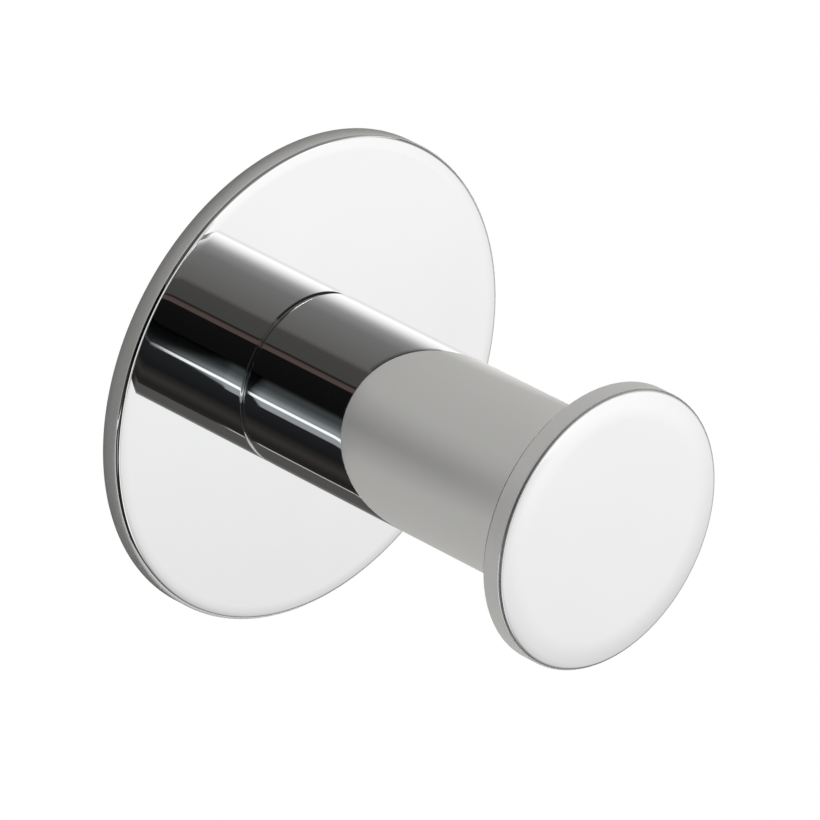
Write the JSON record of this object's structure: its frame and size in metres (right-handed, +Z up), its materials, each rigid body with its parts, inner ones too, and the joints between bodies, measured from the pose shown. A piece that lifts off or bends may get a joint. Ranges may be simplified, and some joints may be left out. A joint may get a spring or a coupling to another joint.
{
  "type": "wall hook",
  "caption": "Round wall hook in mirror-polished steel: thin disc back plate, stout plain stem and flat disc head, held on the wall by a concealed boss, wall screw and grub screw.",
  "frame": {"origin": "the hook's axis at the wall: centre of the back plate's rear face", "axes": "+Y into the wall, so the hook stands out along -Y; +Z up; X along the wall"},
  "size_m": [0.055, 0.0689, 0.055],
  "materials": {
    "mirror_steel": "polished",
    "turned_steel": "satin",
    "zinc_plated": "satin",
    "dark_steel": "satin"
  },
  "bodies": {
    "root": {"back_plate": "mirror_steel", "stem": "mirror_steel", "head_disc": "mirror_steel", "head_stud": "turned_steel", "mounting_boss": "turned_steel", "wall_screw": "zinc_plated", "grub_screw": "dark_steel"}
  },
  "joints": []
}
